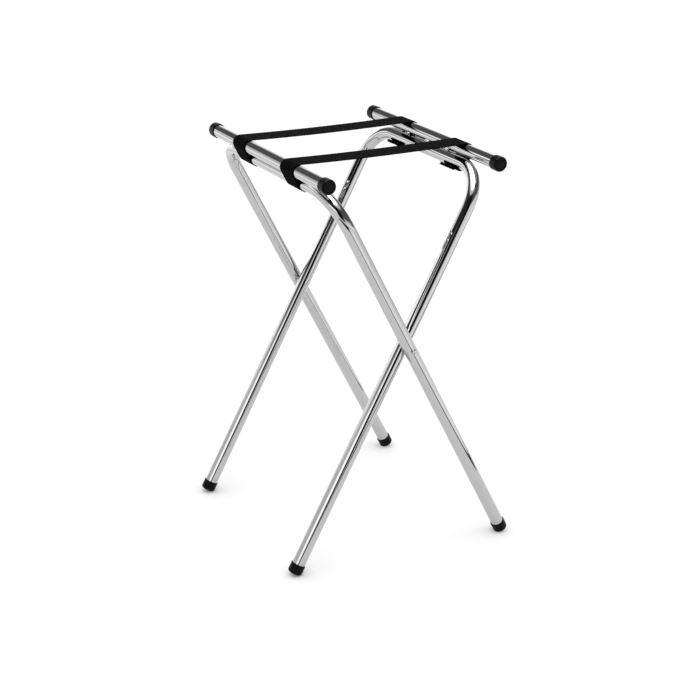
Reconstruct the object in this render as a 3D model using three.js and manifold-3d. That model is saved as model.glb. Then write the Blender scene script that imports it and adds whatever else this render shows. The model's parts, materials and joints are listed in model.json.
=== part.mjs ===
// Folding tray stand: two bent tube frames crossing on two rivets, with a rail and strap ends on each.
// Millimetres, +Z up. X runs from the outer frame's rail to the inner frame's rail, Y along the rails.
// The origin is on the floor, midway between the feet. The stand is modelled open.
import * as THREE from "three";
import { mergeVertices } from "three/addons/utils/BufferGeometryUtils.js";
import Module from "manifold-3d";

// Driving dimensions
const railTopHeight = 787.4;
const pivotHeight = 435.6;
const leanDegrees = 28; // each leg's slope from upright
const tubeDiameter = 25.4;
const tubeWall = 1.2;
const bendRadius = 72; // to the tube's centre line
const outerFrameHalfWidth = 232; // pivot plane to leg centre line, along Y
const innerFrameHalfWidth = 203.5;
const railLength = 483; // over its end caps
const gap = 0.3; // left between pieces that touch

const capWall = 1.5;
const capLength = 20;
const capEndThickness = 4.5;
const capCornerRadius = 4;
const footCrush = 1; // how far the floor flattens a foot cap's lower edge

const strapWidth = 50.8;
const strapThickness = 1.6;
const hemThickness = 3.4; // the strap's end, folded double
const hemFromDegrees = 240; // round the crossbar: 0 faces the other frame, 90 is its top
const hemToDegrees = 271;
const hemFlat = 6.2; // from the crossbar's underside to the hem's droop
const hemTab = 5;
const hemDroopDegrees = 35;
const strapCentres = { front: -101, rear: 101 }; // along Y

const pivotShankRadius = 3.2;
const pivotHoleRadius = 3.5;
const pivotHeadRadius = 5.6;
const pivotHeadHeight = 3;
const pivotSetRadius = 4.8;
const spacerRadius = 8;

const strapRivetShankRadius = 2.4;
const strapRivetHoleRadius = 2.7;
const strapRivetHeadRadius = 5.5;
const strapRivetHeadHeight = 1.8;
const strapRivetSetRadius = 3.6;

// A rivet's shape, as shares of its head's height and radius
const rivetRimShare = 0.35; // straight rim under the dome
const rivetCrownShare = { radius: 0.55, height: 0.85 }; // where the dome turns flatter
const rivetSetShare = { radius: 0.6, shoulder: 0.6, height: 0.7 }; // the flattened set head

const weldPlaces = [-74, 0, 74]; // tack welds along each rail
const weldLength = 10;
const weldRadius = 2.2;

// Worked out from them
const lean = THREE.MathUtils.degToRad(leanDegrees);
const tubeRadius = tubeDiameter / 2;
const tubeBore = tubeRadius - tubeWall;
const capRadius = tubeRadius + gap + capWall;
const railOffset = (railTopHeight - tubeRadius - pivotHeight) / Math.cos(lean);
const crossbarOffset = railOffset - tubeDiameter - gap;
const railX = railOffset * Math.sin(lean);
const railZ = railTopHeight - tubeRadius;
// Along the leg, from the pivot down to the foot cap's end face
const footOffset =
  (pivotHeight + footCrush - capCornerRadius - (capRadius - capCornerRadius) * Math.sin(lean)) /
    Math.cos(lean) +
  capCornerRadius;
const legEndOffset = footOffset - capEndThickness - gap;

// How finely round shapes are divided
const roundSegments = 10; // half the sides of a tube
const bendSegments = 9;
const pinSides = 16;
const cornerSegments = 4;
const washerSegments = 8;
const wrapSegments = 8;
const weldSegments = { cap: 4, round: 12 };

// The block under the floor that flattens the foot caps
const floorBlockWidth = 2000;
const floorBlockDepth = 100;

const chrome = new THREE.MeshStandardMaterial({ color: 0xd5d7d9, metalness: 1, roughness: 0.08 });
const rivetSteel = new THREE.MeshStandardMaterial({ color: 0xb4b6b9, metalness: 1, roughness: 0.25 });
const blackPlastic = new THREE.MeshStandardMaterial({ color: 0x121213, metalness: 0, roughness: 0.35 });
const whiteNylon = new THREE.MeshStandardMaterial({ color: 0xd8d6cf, metalness: 0, roughness: 0.5 });
const blackWebbing = new THREE.MeshStandardMaterial({ color: 0x0d0d0e, metalness: 0, roughness: 0.85 });

const wasm = await Module();
wasm.setup();

// A closed geometry as a solid that can be cut and joined
function solid(geometry) {
  const bare = geometry.clone();
  bare.deleteAttribute("normal");
  bare.deleteAttribute("uv");
  const merged = mergeVertices(bare, 1e-4);
  return new wasm.Manifold(
    new wasm.Mesh({
      numProp: 3,
      vertProperties: merged.attributes.position.array,
      triVerts: new Uint32Array(merged.index.array),
    }),
  );
}

// A solid back as a geometry to draw
function geometryOf(made) {
  const mesh = made.getMesh();
  const geometry = new THREE.BufferGeometry();
  geometry.setAttribute("position", new THREE.BufferAttribute(mesh.vertProperties, 3));
  geometry.setIndex(new THREE.BufferAttribute(mesh.triVerts, 1));
  geometry.computeVertexNormals();
  return geometry;
}

function piece(name, geometry, material, x = 0, y = 0, z = 0) {
  const mesh = new THREE.Mesh(geometry, material);
  mesh.name = name;
  mesh.position.set(x, y, z);
  return mesh;
}

// A tube's centre line as its stations: an extrusion takes one step from each station to the next
class StationPath extends THREE.Curve {
  constructor(stations) {
    super();
    this.stations = stations;
  }

  get steps() {
    return this.stations.length - 1;
  }

  getPoint(t) {
    return this.stations[Math.round(t * this.steps)].point.clone();
  }

  getPointAt(u) {
    return this.getPoint(u);
  }

  getTangentAt(u) {
    return this.stations[Math.round(u * this.steps)].tangent.clone();
  }
}

function ring(outerRadius, innerRadius) {
  const shape = new THREE.Shape().absarc(0, 0, outerRadius, 0, 2 * Math.PI);
  shape.holes.push(new THREE.Path().absarc(0, 0, innerRadius, 0, 2 * Math.PI, true));
  return shape;
}

function sweptTube(path) {
  return new THREE.ExtrudeGeometry(ring(tubeRadius, tubeBore), {
    steps: path.steps,
    curveSegments: roundSegments,
    extrudePath: path,
  });
}

// Up one leg, round the bend, along the crossbar and down the other leg
function framePath(halfWidth) {
  const station = (y, z, angle) => ({
    point: new THREE.Vector3(0, y, z),
    tangent: new THREE.Vector3(0, Math.sin(angle), Math.cos(angle)),
  });
  const bendY = halfWidth - bendRadius;
  const bendZ = crossbarOffset - bendRadius;
  const stations = [station(-halfWidth, -legEndOffset, 0)];
  for (const side of [-1, 1]) {
    for (let i = 0; i <= bendSegments; i++) {
      const turned = (i / bendSegments) * (Math.PI / 2);
      const angle = side < 0 ? turned : turned + Math.PI / 2;
      const y = side * bendY - bendRadius * Math.cos(angle);
      stations.push(station(y, bendZ + bendRadius * Math.sin(angle), angle));
    }
  }
  stations.push(station(halfWidth, -legEndOffset, Math.PI));
  return new StationPath(stations);
}

// A cylinder lying along Y, from y0 to y1, at height z
function pinAlongY(radius, y0, y1, z = 0) {
  const pin = new THREE.CylinderGeometry(radius, radius, y1 - y0, pinSides);
  return pin.translate(0, (y0 + y1) / 2, z);
}

// An upright drill for a strap's rivet, centred at height z
function strapRivetHole(length, y, z) {
  const drill = new THREE.CylinderGeometry(strapRivetHoleRadius, strapRivetHoleRadius, length, pinSides);
  return solid(drill.rotateX(Math.PI / 2).translate(0, y, z));
}

// The frame's tube with its pivot holes and its strap rivet holes
function frameTube(halfWidth) {
  let tube = solid(sweptTube(framePath(halfWidth)));
  for (const side of [-1, 1]) {
    const y = side * halfWidth;
    tube = tube.subtract(solid(pinAlongY(pivotHoleRadius, y - tubeDiameter, y + tubeDiameter)));
  }
  for (const y of Object.values(strapCentres)) {
    tube = tube.subtract(strapRivetHole(tubeRadius, y, crossbarOffset - tubeRadius));
  }
  return geometryOf(tube);
}

function railTube() {
  const half = railLength / 2 - capEndThickness - gap;
  const tube = new THREE.ExtrudeGeometry(ring(tubeRadius, tubeBore), {
    depth: 2 * half,
    bevelEnabled: false,
    curveSegments: roundSegments,
  });
  return tube.translate(0, 0, -half).rotateX(Math.PI / 2);
}

// A moulded cup cap: its closed end at 0, rounded over, and its mouth up the axis at capLength
function capCup() {
  const profile = new THREE.Path()
    .moveTo(0, 0)
    .lineTo(capRadius - capCornerRadius, 0)
    .absarc(capRadius - capCornerRadius, capCornerRadius, capCornerRadius, -Math.PI / 2, 0)
    .lineTo(capRadius, capLength)
    .lineTo(tubeRadius + gap, capLength)
    .lineTo(tubeRadius + gap, capEndThickness)
    .lineTo(0, capEndThickness);
  const cup = new THREE.LatheGeometry(profile.getPoints(cornerSegments), 2 * roundSegments);
  return cup.rotateX(Math.PI / 2);
}

// A rivet as one turned profile: a domed head below 0, the shank from 0 to length, and the set head beyond
function rivet(shankRadius, headRadius, headHeight, length, setRadius) {
  const rim = headHeight * rivetRimShare;
  const profile = [
    [0, -headHeight],
    [headRadius * rivetCrownShare.radius, -headHeight * rivetCrownShare.height],
    [headRadius, -rim],
    [headRadius, 0],
    [shankRadius, 0],
    [shankRadius, length],
    [setRadius, length],
    [setRadius, length + rim],
    [setRadius * rivetSetShare.radius, length + headHeight * rivetSetShare.shoulder],
    [0, length + headHeight * rivetSetShare.height],
  ];
  const points = profile.map(([r, y]) => new THREE.Vector2(r, y));
  return new THREE.LatheGeometry(points, pinSides);
}

function washer(outerRadius, innerRadius, thickness) {
  const disc = new THREE.ExtrudeGeometry(ring(outerRadius, innerRadius), {
    depth: thickness,
    bevelEnabled: false,
    curveSegments: washerSegments,
  });
  return disc.translate(0, 0, -thickness / 2).rotateX(Math.PI / 2);
}

// The strap's end seen along the rail: it starts on the rail where the taut strap leaves it, covers the rail's
// outer side, runs straight to the crossbar, goes round under it and ends in a hem whose tab droops inwards.
// `inward` is +1 where the other frame lies towards +X.
function strapWrap(inward) {
  const innerRadius = tubeRadius + gap;
  const outerRadius = innerRadius + strapThickness;
  const hemRadius = innerRadius + hemThickness;
  const leave = Math.PI / 2 - lean;
  const hemStart = THREE.MathUtils.degToRad(hemFromDegrees);
  const hemEnd = THREE.MathUtils.degToRad(hemToDegrees);
  const droop = THREE.MathUtils.degToRad(hemDroopDegrees);
  const direction = (angle) => new THREE.Vector2(Math.cos(angle), Math.sin(angle));
  const along = direction(hemEnd + Math.PI / 2);
  const tab = direction(hemEnd + Math.PI / 2 - droop);
  const centre = new THREE.Vector2(0, crossbarOffset);
  const foldIn = direction(hemEnd).multiplyScalar(innerRadius).add(centre).addScaledVector(along, hemFlat);
  const foldOut = foldIn
    .clone()
    .addScaledVector(direction(hemEnd), hemThickness)
    .addScaledVector(along, -hemThickness * Math.tan(droop / 2));
  const endIn = foldIn.clone().addScaledVector(tab, hemTab);
  const endOut = endIn.clone().addScaledVector(direction(hemEnd - droop), hemThickness);

  const outline = new THREE.Shape();
  outline.absarc(0, railOffset, innerRadius, leave, Math.PI, false);
  outline.absarc(0, crossbarOffset, innerRadius, Math.PI, hemEnd, false);
  for (const corner of [foldIn, endIn, endOut, foldOut]) outline.lineTo(corner.x, corner.y);
  outline.absarc(0, crossbarOffset, hemRadius, hemEnd, hemStart, true);
  outline.absarc(0, crossbarOffset, outerRadius, hemStart, Math.PI, true);
  outline.absarc(0, railOffset, outerRadius, Math.PI, leave, true);
  const band = new THREE.ExtrudeGeometry(outline, {
    depth: strapWidth,
    bevelEnabled: false,
    curveSegments: wrapSegments,
  });
  band.translate(0, 0, -strapWidth / 2).rotateX(Math.PI / 2);
  const hole = strapRivetHole(3 * hemThickness, 0, crossbarOffset - hemRadius);
  let wrap = solid(band).subtract(hole);
  if (inward < 0) wrap = wrap.rotate([0, 0, 180]);
  return geometryOf(wrap);
}

// A tack weld lying in the groove where the rail meets the crossbar
function tackWeld(inward) {
  const bead = new THREE.CapsuleGeometry(weldRadius, weldLength, weldSegments.cap, weldSegments.round);
  const reach = tubeRadius + gap + weldRadius;
  const across = Math.sqrt(reach ** 2 - (tubeDiameter / 2 + gap / 2) ** 2);
  return bead.translate(inward * across, 0, (railOffset + crossbarOffset) / 2);
}

// Everything that one frame carries, in the frame's own upright pose with the pivot at the origin
function frameAssembly(side, halfWidth, inward) {
  const frame = new THREE.Group();
  frame.position.z = pivotHeight;
  frame.rotation.y = -inward * lean;
  frame.updateMatrix();
  frame.add(piece(side + "_frame_tube", frameTube(halfWidth), chrome));
  frame.add(piece(side + "_rail", railTube(), chrome, 0, 0, railOffset));

  const floor = new THREE.BoxGeometry(floorBlockWidth, floorBlockWidth, floorBlockDepth);
  floor.translate(0, 0, -floorBlockDepth / 2).applyMatrix4(frame.matrix.clone().invert());
  for (const [end, y] of Object.entries({ front: -1, rear: 1 })) {
    const railCap = capCup().rotateX((y * Math.PI) / 2);
    frame.add(
      piece(`${side}_rail_cap_${end}`, railCap, blackPlastic, 0, (y * railLength) / 2, railOffset),
    );
    const footCap = solid(capCup().translate(0, y * halfWidth, -footOffset)).subtract(solid(floor));
    frame.add(piece(`${side}_foot_cap_${end}`, geometryOf(footCap), blackPlastic));
  }

  for (const [place, y] of Object.entries(strapCentres)) {
    frame.add(piece(`${place}_strap_wrap_${side}`, strapWrap(inward), blackWebbing, 0, y, 0));
    const seatRise = tubeBore - Math.sqrt(tubeBore ** 2 - strapRivetSetRadius ** 2);
    const strapRivet = rivet(
      strapRivetShankRadius,
      strapRivetHeadRadius,
      strapRivetHeadHeight,
      hemThickness + tubeWall + seatRise + 4 * gap,
      strapRivetSetRadius,
    ).rotateX(Math.PI / 2);
    const under = crossbarOffset - tubeRadius - 2 * gap - hemThickness;
    frame.add(piece(`${place}_strap_rivet_${side}`, strapRivet, rivetSteel, 0, y, under));
  }
  weldPlaces.forEach((y, i) => {
    frame.add(piece(`${side}_rail_weld_${i + 1}`, tackWeld(inward), chrome, 0, y, 0));
  });
  return frame;
}

// The rivet that both frames turn on, and the washer that keeps their legs apart
function pivot(end, towards) {
  const outerFace = outerFrameHalfWidth + tubeRadius + gap;
  const innerFace = innerFrameHalfWidth - tubeRadius - gap;
  const group = new THREE.Group();
  const pin = rivet(
    pivotShankRadius,
    pivotHeadRadius,
    pivotHeadHeight,
    outerFace - innerFace,
    pivotSetRadius,
  );
  if (towards > 0) pin.rotateX(Math.PI);
  group.add(piece("pivot_rivet_" + end, pin, rivetSteel, 0, towards * outerFace, 0));
  const space = outerFrameHalfWidth - innerFrameHalfWidth - tubeDiameter;
  const middle = (outerFrameHalfWidth + innerFrameHalfWidth) / 2;
  const spacer = washer(spacerRadius, pivotHoleRadius, space - 2 * gap);
  group.add(piece("pivot_spacer_" + end, spacer, whiteNylon, 0, towards * middle, 0));
  group.position.z = pivotHeight;
  return group;
}

// Half of a strap's free span, from the rail to a hair short of the middle, where the two halves meet
function strapHalf(place, side, towards) {
  const length = railX - 1.5 * gap;
  const web = new THREE.BoxGeometry(length, strapWidth, strapThickness);
  const x = towards * (gap / 2 + length / 2);
  const z = railTopHeight + gap + strapThickness / 2;
  return piece(`${place}_strap_half_${side}`, web, blackWebbing, x, strapCentres[place], z);
}

const stand = new THREE.Group();
stand.add(frameAssembly("outer", outerFrameHalfWidth, 1));
stand.add(frameAssembly("inner", innerFrameHalfWidth, -1));
stand.add(pivot("front", -1));
stand.add(pivot("rear", 1));
for (const place of Object.keys(strapCentres)) {
  stand.add(strapHalf(place, "outer", -1));
  stand.add(strapHalf(place, "inner", 1));
}

export default stand;
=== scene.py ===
"""Folding tray stand, modelled open: the finished surfaces, the materials and the studio.

Two bent tube frames cross on a pair of rivets. Each carries a straight rail welded over its crossbar, and
two webbing straps hold the rails apart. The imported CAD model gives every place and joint, and each new
surface stands for its CAD nodes. Lengths are metres, +Z is up, and X runs from the outer frame's rail to
the inner one's.
"""

import json
import math

import bmesh
import bpy
import numpy as np
from mathutils import Matrix, Vector


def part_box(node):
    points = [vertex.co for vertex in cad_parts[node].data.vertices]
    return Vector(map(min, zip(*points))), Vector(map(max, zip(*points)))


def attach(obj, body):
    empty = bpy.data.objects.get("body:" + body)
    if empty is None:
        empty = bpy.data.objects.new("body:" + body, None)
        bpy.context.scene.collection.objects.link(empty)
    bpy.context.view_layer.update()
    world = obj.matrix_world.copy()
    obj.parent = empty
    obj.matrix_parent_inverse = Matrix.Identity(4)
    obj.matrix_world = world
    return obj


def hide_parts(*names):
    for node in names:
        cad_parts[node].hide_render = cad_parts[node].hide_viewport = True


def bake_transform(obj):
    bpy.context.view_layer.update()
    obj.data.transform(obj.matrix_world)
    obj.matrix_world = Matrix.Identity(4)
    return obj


bl_info = {
    "name": "Folding Tray Stand",
    "version": (1, 0, 0),
    "blender": (4, 5, 0),
    "location": "View3D > Sidebar > Tray Stand",
    "description": "Builds the surfaces, finishes and studio of a folding tray stand round its CAD frame",
    "category": "Add Mesh",
}

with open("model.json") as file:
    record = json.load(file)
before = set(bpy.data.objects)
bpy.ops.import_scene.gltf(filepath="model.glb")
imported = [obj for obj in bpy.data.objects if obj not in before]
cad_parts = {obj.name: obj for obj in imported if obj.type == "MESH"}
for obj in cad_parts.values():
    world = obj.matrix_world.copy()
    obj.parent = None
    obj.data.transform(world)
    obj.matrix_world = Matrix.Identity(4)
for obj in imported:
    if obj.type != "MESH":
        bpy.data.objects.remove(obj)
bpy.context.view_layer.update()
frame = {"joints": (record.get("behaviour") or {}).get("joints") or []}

MM = 0.001
SIDES = ("outer", "inner")
ENDS = {"front": -1, "rear": 1}
BODY = {"outer": "outer_frame", "inner": "inner_frame"}


def middle_of(node):
    """The middle of a CAD node's box."""
    low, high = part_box(node)
    return (low + high) / 2


PIVOT_Z = next(joint["pos_m"][2] for joint in frame["joints"] if joint["name"] == "fold")
RAIL_X = abs(middle_of("outer_rail").x)
RAIL_Z = middle_of("outer_rail").z
LEAN = math.atan2(RAIL_X, RAIL_Z - PIVOT_Z)
RAIL_OFFSET = math.hypot(RAIL_X, RAIL_Z - PIVOT_Z)
FRAME_EDGE = {side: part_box(side + "_frame_tube")[1].y for side in SIDES}
RAIL_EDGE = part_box("outer_rail_cap_rear")[1].y
STRAP_Y = {end: middle_of(end + "_strap_half_outer").y for end in ENDS}
STRAP_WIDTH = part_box("front_strap_half_outer")[1].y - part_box("front_strap_half_outer")[0].y
STRAP_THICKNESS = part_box("front_strap_half_outer")[1].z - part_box("front_strap_half_outer")[0].z


# ---------------------------------------------------------------------------------------------------------
# Settings


def length(name, description, default):
    """A length property in metres."""
    return bpy.props.FloatProperty(
        name=name,
        description=description,
        default=default,
        min=0.0,
        precision=5,
        unit="LENGTH",
        subtype="DISTANCE",
    )


def colour(name, description, default):
    """A colour property."""
    return bpy.props.FloatVectorProperty(
        name=name,
        description=description,
        default=default,
        size=3,
        min=0.0,
        max=1.0,
        subtype="COLOR",
    )


class TRAYSTAND_PG_sizes(bpy.types.PropertyGroup):
    """Sizes that the CAD frame leaves open."""

    tube_diameter: length("Tube Diameter", "Outside diameter of the legs and rails", 25.4 * MM)
    tube_wall: length("Tube Wall", "Wall thickness of the tube", 1.2 * MM)
    bend_radius: length("Bend Radius", "Radius of each frame's bends, to the tube's centre line", 72 * MM)
    bend_flattening: bpy.props.FloatProperty(
        name="Bend Flattening",
        description="How much the tube narrows across the middle of a bend",
        default=0.03,
        min=0.0,
        max=0.2,
        subtype="FACTOR",
    )
    fit_gap: length("Fit Gap", "Clearance between pieces that touch", 0.3 * MM)
    cap_length: length("Cap Length", "Length of an end cap along its tube", 20 * MM)
    cap_wall: length("Cap Wall", "Thickness of an end cap's skirt", 1.5 * MM)
    cap_end: length("Cap End", "Thickness of an end cap's closed end", 4.5 * MM)
    cap_corner: length("Cap Corner", "Rounding of an end cap's outer corner", 4 * MM)
    pivot_head: length("Pivot Head", "Diameter of the pivot rivet's head", 11.2 * MM)
    strap_rivet_head: length("Strap Rivet Head", "Diameter of the head of each strap's rivet", 11 * MM)
    strap_sag: length("Strap Sag", "How far the middle of a strap hangs below its ends", 2.4 * MM)
    hem_flat: length("Hem Flat", "Straight run of a strap's end under the crossbar", 6.2 * MM)
    hem_tab: length("Hem Tab", "Length of the loose tab at a strap's end", 5.6 * MM)


class TRAYSTAND_PG_colours(bpy.types.PropertyGroup):
    """Base colours of the finishes."""

    chrome: colour("Chrome", "Bright plating on the tubes", (0.492, 0.493, 0.496))
    rivet_steel: colour("Rivet Steel", "Plated steel of the rivets", (0.47, 0.475, 0.48))
    black_vinyl: colour("Black Vinyl", "Moulded end caps", (0.002, 0.002, 0.0021))
    white_nylon: colour("White Nylon", "Washers between the legs", (0.78, 0.77, 0.73))
    black_webbing: colour("Black Webbing", "Woven straps", (0.0016, 0.0016, 0.0017))
    floor: colour("Floor", "Studio floor", (0.955, 0.955, 0.955))


# ---------------------------------------------------------------------------------------------------------
# Surfaces


def skin(points, uv, closed_rows=False, closed_columns=False):
    """Quads over a grid of points.

    Each quad joins a point to its neighbours one row and one column on. A closed direction joins its last
    line of points to its first, and `uv` then has one line more that way. The shell's signed volume is the
    sum of its faces' tetrahedra with the origin, and every quad is turned over where that is negative.
    """
    rows, columns = points.shape[:2]
    row = np.arange(rows if closed_rows else rows - 1)[:, None]
    column = np.arange(columns if closed_columns else columns - 1)[None, :]
    next_row, next_column = (row + 1) % rows, (column + 1) % columns
    corners = [(row, column), (next_row, column), (next_row, next_column), (row, next_column)]
    quads = np.stack([r * columns + c for r, c in corners], -1).reshape(-1, 4)
    corners = [(row, column), (row + 1, column), (row + 1, column + 1), (row, column + 1)]
    wrapped = np.stack([uv[r, c] for r, c in corners], -2).reshape(-1, 4, 2)
    flat = points.reshape(-1, 3)
    a, b, c, d = (flat[quads[:, i]] for i in range(4))
    volume = np.sum(a * np.cross(b, c)) + np.sum(a * np.cross(c, d))
    if volume < 0:
        quads, wrapped = quads[:, ::-1], wrapped[:, ::-1]
    return flat, quads, wrapped


def unrolled(along, around):
    """The UV of every point of a grid: its distance along the surface and its distance around it."""
    return np.stack(np.broadcast_arrays(along[:, None], around[None, :]), -1)


def piece(name, skins, slot, nodes, body=None, sharp_degrees=35):
    """One object made of closed skins, finished for its slot, standing for its nodes and riding on its body.

    Points that coincide are merged, which closes the poles and the folded ends.
    """
    starts = np.cumsum([0] + [len(points) for points, _, _ in skins])
    points = np.concatenate([points for points, _, _ in skins])
    quads = np.concatenate([quads + start for (_, quads, _), start in zip(skins, starts)])
    uv = np.concatenate([wrapped for _, _, wrapped in skins])
    mesh = bpy.data.meshes.new(name)
    mesh.from_pydata(points.tolist(), [], quads.tolist())
    mesh.uv_layers.new(name="UVMap").data.foreach_set("uv", uv.astype(np.float32).ravel())
    shell = bmesh.new()
    shell.from_mesh(mesh)
    bmesh.ops.remove_doubles(shell, verts=shell.verts, dist=0.002 * MM)
    bmesh.ops.dissolve_degenerate(shell, edges=shell.edges, dist=0.001 * MM)
    shell.to_mesh(mesh)
    shell.free()
    mesh.shade_smooth()
    mesh.set_sharp_from_angle(angle=math.radians(sharp_degrees))
    mesh.materials.append(finish(slot))
    made = bpy.data.objects.new(name, mesh)
    bpy.context.scene.collection.objects.link(made)
    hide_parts(*nodes)
    if body:
        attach(made, body)
    return made


def leaned(points, side):
    """Points of a frame modelled upright about its pivot, put where they are on the open stand.

    They turn about Y by the frame's lean and rise to the pivot's height.
    """
    turn = -LEAN if side == "outer" else LEAN
    x, y, z = points[..., 0], points[..., 1], points[..., 2]
    leaned_x = x * math.cos(turn) + z * math.sin(turn)
    leaned_z = PIVOT_Z - x * math.sin(turn) + z * math.cos(turn)
    return np.stack([leaned_x, y, leaned_z], -1)


def swept_tube(path, tangents, radius, wall, flattening=None, sides=72):
    """A hollow tube along a path.

    At each station the section is a circle in the plane across the path. In the plane of the bend its radius
    is shortened by the flattening there, and across the bend it gains a third of that. The outer stations
    run forwards and the bore's run back, so that the skin closes on itself over both ends.
    """
    turns = np.linspace(0, 2 * math.pi, sides, endpoint=False)
    across = np.array([1.0, 0.0, 0.0])
    side_on = np.cross(tangents, across)
    squeeze = np.zeros(len(path)) if flattening is None else flattening
    travelled = np.concatenate([[0], np.cumsum(np.linalg.norm(np.diff(path, axis=0), axis=1))])

    def layer(r):
        wide = (r * (1 + squeeze / 3))[:, None, None] * np.cos(turns)[None, :, None] * across
        narrow = (r * (1 - squeeze))[:, None, None] * np.sin(turns)[None, :, None] * side_on[:, None, :]
        return path[:, None, :] + wide + narrow

    points = np.concatenate([layer(radius), layer(radius - wall)[::-1]])
    along = np.concatenate([travelled, travelled[::-1], travelled[:1]])
    return points, unrolled(along, np.append(turns, 2 * math.pi) * radius)


def turned(profile, sides=64):
    """A shape of revolution about +Z: each (radius, height) of the profile goes round the axis."""
    turns = np.linspace(0, 2 * math.pi, sides, endpoint=False)
    radius, height = np.asarray(profile, float).T
    x, y = radius[:, None] * np.cos(turns), radius[:, None] * np.sin(turns)
    points = np.stack(np.broadcast_arrays(x, y, height[:, None]), -1)
    travelled = np.concatenate([[0], np.cumsum(np.hypot(np.diff(radius), np.diff(height)))])
    return points, unrolled(travelled, np.append(turns, 2 * math.pi) * radius.max())


def arc(centre, radius, start, end, count=9):
    """Points on a circle's arc: the centre plus the radius times each angle's cosine and sine, in degrees."""
    angles = np.radians(np.linspace(start, end, count))
    return np.stack([centre[0] + radius * np.cos(angles), centre[1] + radius * np.sin(angles)], -1)


def stood(points, place, axis, across):
    """A turned shape moved to `place`, with its +Z laid along `axis` and its +X along `across`.

    Each point is the place, plus x across, y along the cross product of the two, and z along the axis.
    """
    axis, across = np.asarray(axis, float), np.asarray(across, float)
    third = np.cross(axis, across)
    return np.asarray(place) + points[..., :1] * across + points[..., 1:2] * third + points[..., 2:] * axis


def seat_drop(points, radius, across):
    """How far a tube falls away below points that lie off its centre line.

    That is its radius, less the root of the radius squared less the distance off the line squared.
    """
    off = points @ np.asarray(across, float)
    return radius - np.sqrt(np.maximum(radius**2 - off**2, 0))


def frame_path(half_width, top, low, bend, leg_steps=12, bend_steps=25, bar_steps=8):
    """The centre line of an upright frame, its directions, and how far it is flattened, from 0 to 1.

    One half goes straight up a leg, round a quarter circle, and in along the crossbar to the middle. The
    other half is its mirror image. The flattening is the squared sine of twice the angle round the bend.
    """
    quarter = np.linspace(0, math.pi / 2, bend_steps)
    rise = np.linspace(0, 1, leg_steps, endpoint=False)
    leg_y, leg_z = np.full(leg_steps, -half_width), low + (top - bend - low) * rise
    bend_y = -(half_width - bend) - bend * np.cos(quarter)
    bend_z = top - bend + bend * np.sin(quarter)
    bar_y = np.linspace(-(half_width - bend), 0, bar_steps + 1)[1:]
    y = np.concatenate([leg_y, bend_y, bar_y])
    z = np.concatenate([leg_z, bend_z, np.full(bar_steps, top)])
    angle = np.concatenate([np.zeros(leg_steps), quarter, np.full(bar_steps, math.pi / 2)])
    squeeze = np.concatenate([np.zeros(leg_steps), np.sin(2 * quarter) ** 2, np.zeros(bar_steps)])
    y, z = np.concatenate([y, -y[-2::-1]]), np.concatenate([z, z[-2::-1]])
    angle = np.concatenate([angle, math.pi - angle[-2::-1]])
    squeeze = np.concatenate([squeeze, squeeze[-2::-1]])
    path = np.stack([np.zeros_like(y), y, z], -1)
    tangents = np.stack([np.zeros_like(y), np.sin(angle), np.cos(angle)], -1)
    return path, tangents, squeeze


# ---------------------------------------------------------------------------------------------------------
# Finishes


class Nodes:
    """Adds nodes to a tree: every input is a value or the socket that feeds it."""

    def __init__(self, tree):
        self.tree = tree

    def add(self, kind, inputs=(), **settings):
        """A shader node of that kind, with its settings and its inputs by name or number."""
        made = self.tree.nodes.new("ShaderNode" + kind)
        for name, value in settings.items():
            setattr(made, name, value)
        for name, value in dict(inputs).items():
            self.feed(made.inputs[name], value)
        return made

    def feed(self, socket, value):
        """Links a socket to the input, or sets the input's value."""
        if isinstance(value, bpy.types.NodeSocket):
            self.tree.links.new(value, socket)
        else:
            socket.default_value = value

    def math(self, operation, *values, clamp=False):
        """The result of one sum."""
        made = self.add("Math", enumerate(values), operation=operation, use_clamp=clamp)
        return made.outputs[0]

    def mix(self, factor, first, second):
        """One colour shading into another as the factor goes from 0 to 1."""
        made = self.add("Mix", data_type="RGBA")
        # A colour mix has its factor at input 0 and its two colours at 6 and 7.
        for number, value in ((0, factor), (6, first), (7, second)):
            self.feed(made.inputs[number], value)
        return made.outputs[2]

    def scale_to(self, value, low, high, out_low, out_high):
        """A value carried from one range to another by a smooth step."""
        made = self.add(
            "MapRange",
            {"Value": value, "From Min": low, "From Max": high, "To Min": out_low, "To Max": out_high},
            interpolation_type="SMOOTHSTEP",
        )
        return made.outputs["Result"]


def effect(name, inputs, outputs):
    """A new node group with those named sockets, and its input and output nodes."""
    tree = bpy.data.node_groups.new(name, "ShaderNodeTree")
    for label, kind, default in inputs:
        socket = tree.interface.new_socket(name=label, in_out="INPUT", socket_type="NodeSocket" + kind)
        if kind == "Float":
            socket.default_value = default
    for label, kind in outputs:
        tree.interface.new_socket(name=label, in_out="OUTPUT", socket_type="NodeSocket" + kind)
    given = tree.nodes.new("NodeGroupInput").outputs
    result = tree.nodes.new("NodeGroupOutput").inputs
    return tree, Nodes(tree), given, result


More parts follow.
